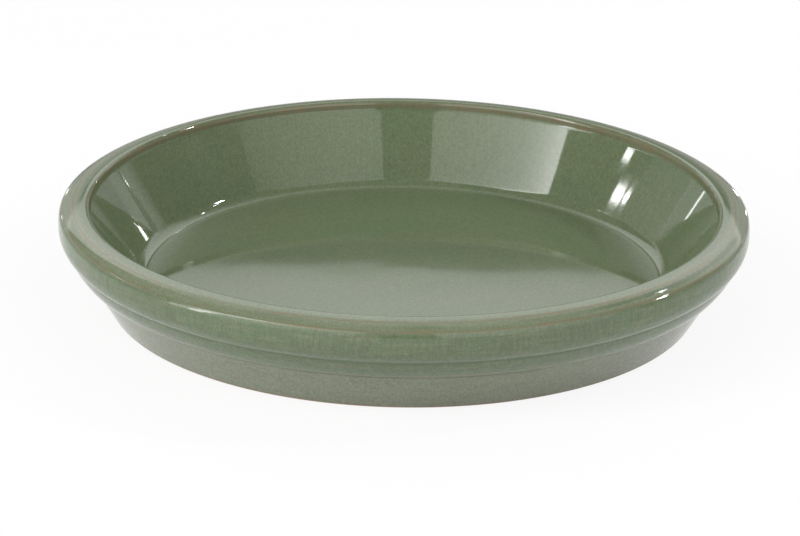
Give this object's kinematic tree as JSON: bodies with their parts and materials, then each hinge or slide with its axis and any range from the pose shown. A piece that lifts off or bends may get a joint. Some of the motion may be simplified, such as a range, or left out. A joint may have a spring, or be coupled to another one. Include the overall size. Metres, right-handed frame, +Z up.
{
  "type": "plant saucer",
  "caption": "Round glazed clay saucer with a flat floor, sloping wall and thick rolled rim, which stands under a plant pot and catches the water that drains from it.",
  "frame": {"origin": "centre of the foot ring, on the surface that the saucer stands on", "axes": "+Z up along the saucer's axis of revolution; X and Y are alike"},
  "size_m": [0.3, 0.3, 0.044],
  "materials": {
    "clay": "bare fired clay, matt and slightly rough",
    "glaze": "glossy green glaze that breaks to brown where it is thin on edges"
  },
  "bodies": {
    "root": {"clay_body": "clay", "glaze_coat": "glaze"}
  },
  "joints": []
}
